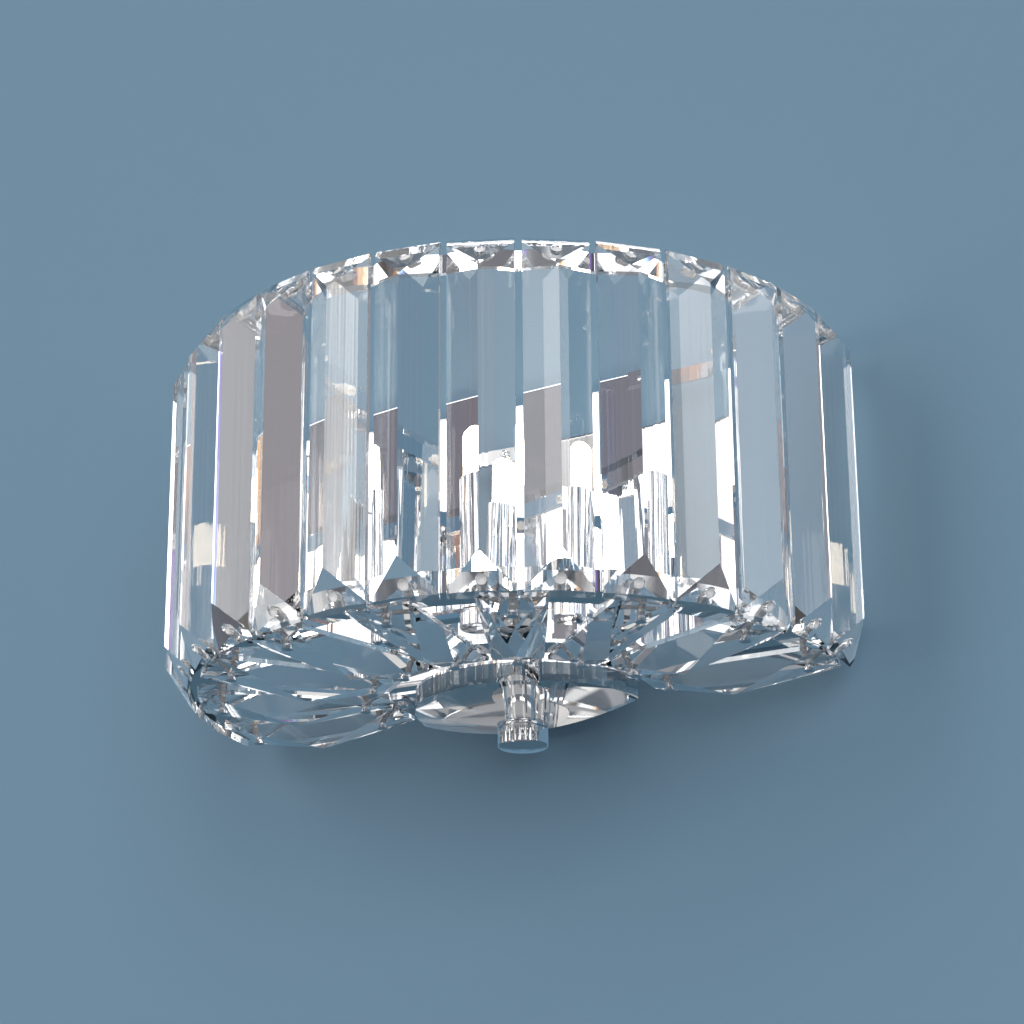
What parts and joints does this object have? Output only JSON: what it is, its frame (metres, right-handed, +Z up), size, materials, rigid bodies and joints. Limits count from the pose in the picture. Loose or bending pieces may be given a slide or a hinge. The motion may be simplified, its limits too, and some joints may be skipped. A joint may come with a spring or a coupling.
{
  "type": "crystal wall sconce",
  "caption": "Half-round wall sconce: upright bevelled crystal prisms on chrome rings, a fan of crystal bars below and a half-moon crystal at the hub.",
  "frame": {"origin": "centre of the two wall screws, on the wall's face", "axes": "+X along the wall to the right as seen from the room, +Y into the wall, +Z up"},
  "size_m": [0.31, 0.1842, 0.1736],
  "materials": {
    "crystal": "polished, clear",
    "chrome": "polished",
    "frosted": "frosted, translucent white",
    "zinc_steel": "zinc plated",
    "brass": "turned",
    "block_plastic": "moulded",
    "bulb_glass": "lit capsule bulb, warm white"
  },
  "bodies": {
    "fixture": {"backplate": "chrome", "upper_ring": "chrome", "lower_ring": "chrome", "inner_ring": "chrome", "hub_bracket": "chrome", "hub_plate": "chrome", "stem_collar": "chrome", "stem_nut": "chrome", "upper_arm_right": "chrome", "upper_arm_left": "chrome", "lower_arm_right": "chrome", "lower_arm_left": "chrome", "lamp_arms": "chrome", "lamp_bar": "chrome", "lamp_nuts": "chrome", "fan_outer_pins": "chrome", "fan_inner_pins": "chrome", "strap_screws": "chrome", "lug_screws": "chrome", "backplate_screws": "chrome", "wall_strap": "zinc_steel", "terminal_block": "block_plastic", "earth_screw": "brass", "stem": "brass", "prism_01": "crystal", "prism_02": "crystal", "prism_03": "crystal", "prism_04": "crystal", "prism_05": "crystal", "prism_06": "crystal", "prism_07": "crystal", "prism_08": "crystal", "prism_09": "crystal", "prism_10": "crystal", "prism_11": "crystal", "prism_12": "crystal", "prism_13": "crystal", "prism_14": "crystal", "prism_15": "crystal", "prism_16": "crystal", "fan_bar_1": "crystal", "fan_bar_2": "crystal", "fan_bar_3": "crystal", "fan_bar_4": "crystal", "fan_bar_5": "crystal", "fan_bar_6": "crystal", "fan_bar_7": "crystal", "fan_bar_8": "crystal", "fan_bar_9": "crystal", "upper_prism_pins": "frosted", "lower_prism_pins": "frosted", "lamp_holder_left": "chrome", "lamp_holder_middle": "chrome", "lamp_holder_right": "chrome"},
    "hub_drop": {"hub_crystal": "crystal", "finial_washer": "chrome"},
    "finial": {"finial_knob": "chrome"},
    "bulb_left": {"bulb_left": "bulb_glass"},
    "bulb_middle": {"bulb_middle": "bulb_glass"},
    "bulb_right": {"bulb_right": "bulb_glass"}
  },
  "joints": [
    {"name": "hub_lower", "type": "slide", "parent": "fixture", "child": "hub_drop", "axis": [0, 0, -1], "range_m": [0, 0.005]},
    {"name": "finial_turn", "type": "hinge", "parent": "hub_drop", "child": "finial", "pos_m": [0, -0.03, -0.098], "axis": [0, 0, -1], "range_deg": [0, 1440]},
    {"name": "bulb_left_pull", "type": "slide", "parent": "fixture", "child": "bulb_left", "axis": [0, 0, 1], "range_m": [0, 0.025]},
    {"name": "bulb_middle_pull", "type": "slide", "parent": "fixture", "child": "bulb_middle", "axis": [0, 0, 1], "range_m": [0, 0.025]},
    {"name": "bulb_right_pull", "type": "slide", "parent": "fixture", "child": "bulb_right", "axis": [0, 0, 1], "range_m": [0, 0.025]}
  ],
  "couplings": [
    {"joint": "finial_turn", "follows": "hub_lower", "rad_per_m": 5026.5}
  ]
}
